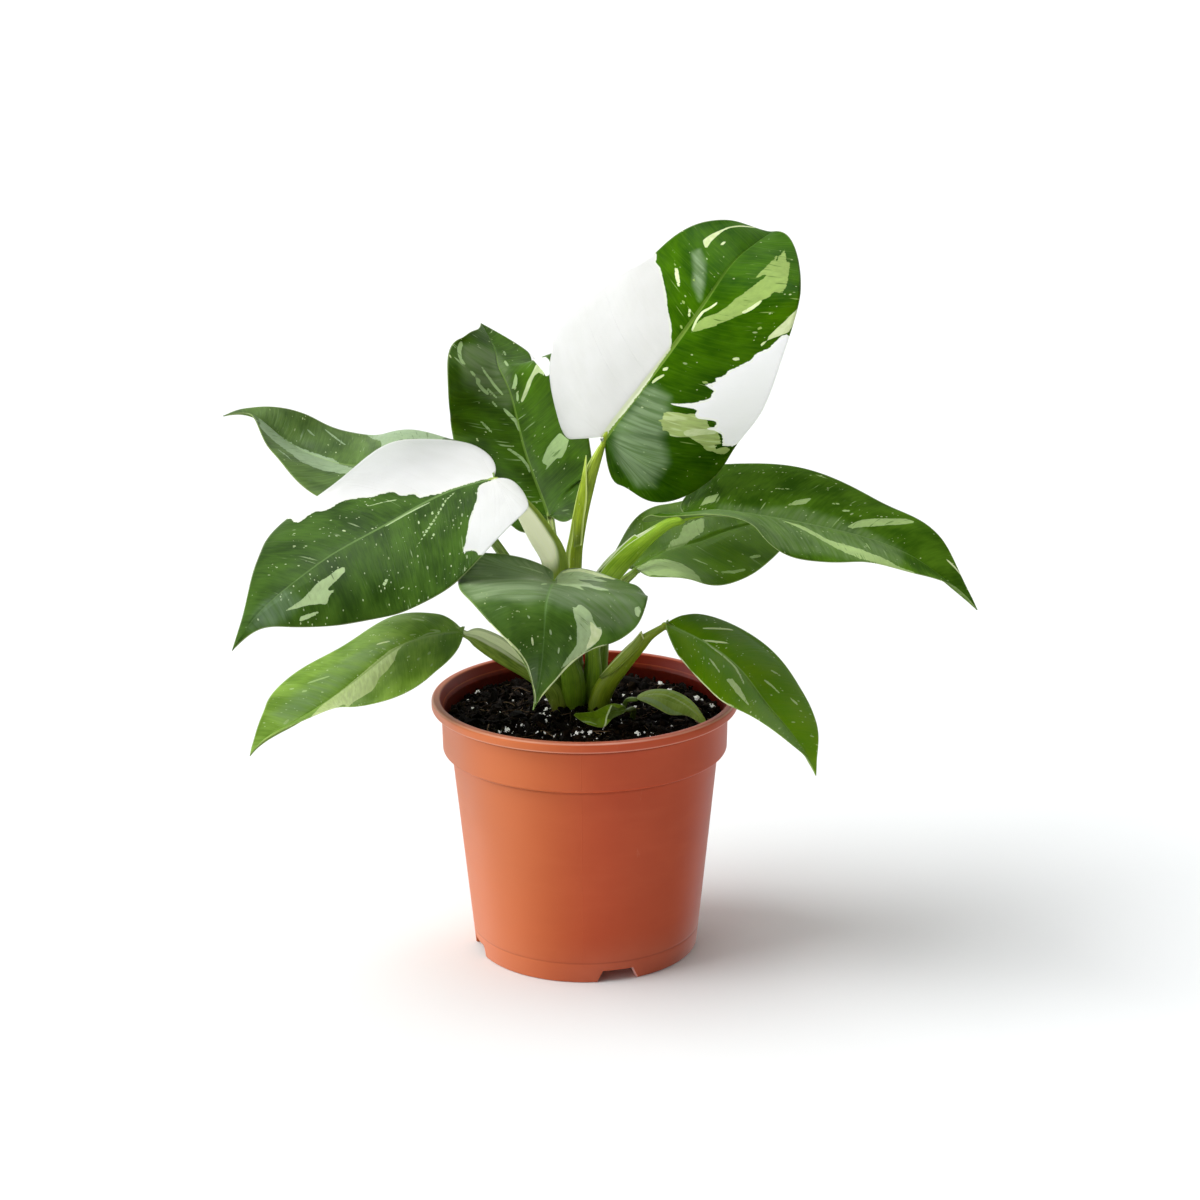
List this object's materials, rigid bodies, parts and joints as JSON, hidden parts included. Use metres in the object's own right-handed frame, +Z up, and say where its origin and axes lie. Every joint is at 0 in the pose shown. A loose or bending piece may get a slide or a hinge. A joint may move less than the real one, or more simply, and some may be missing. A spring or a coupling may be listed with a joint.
{
  "type": "potted white wizard philodendron",
  "caption": "Leafy philodendron with white and pale green variegation on heart-shaped leaves, growing in dark potting mix in a plain terracotta-coloured plastic nursery pot.",
  "frame": {"origin": "centre of the pot's foot, on the surface it rests on", "axes": "+Z up along the pot's axis; +X right and +Y away as seen in the picture"},
  "size_m": [0.2931, 0.1543, 0.2839],
  "materials": {
    "terracotta_plastic": "satin moulded plastic, terracotta orange",
    "potting_mix": "moist dark peat and bark with white perlite",
    "green_stalk": "smooth waxy yellow-green",
    "variegated_leaf": "glossy dark green with white and pale green patches"
  },
  "bodies": {
    "root": {"nursery_pot": "terracotta_plastic", "potting_mix": "potting_mix", "stem": "green_stalk", "leaf_blade_top": "variegated_leaf", "leaf_stalk_top": "green_stalk", "leaf_blade_rear_upright": "variegated_leaf", "leaf_stalk_rear_upright": "green_stalk", "leaf_blade_left_large": "variegated_leaf", "leaf_stalk_left_large": "green_stalk", "leaf_blade_left_rear": "variegated_leaf", "leaf_stalk_left_rear": "green_stalk", "leaf_blade_front": "variegated_leaf", "leaf_stalk_front": "green_stalk", "leaf_blade_right_large": "variegated_leaf", "leaf_stalk_right_large": "green_stalk", "leaf_blade_right_rear": "variegated_leaf", "leaf_stalk_right_rear": "green_stalk", "leaf_blade_right_low": "variegated_leaf", "leaf_stalk_right_low": "green_stalk", "leaf_blade_left_low": "variegated_leaf", "leaf_stalk_left_low": "green_stalk", "leaf_blade_small_right": "variegated_leaf", "leaf_stalk_small_right": "green_stalk", "leaf_blade_small_left": "variegated_leaf", "leaf_stalk_small_left": "green_stalk"}
  },
  "joints": []
}
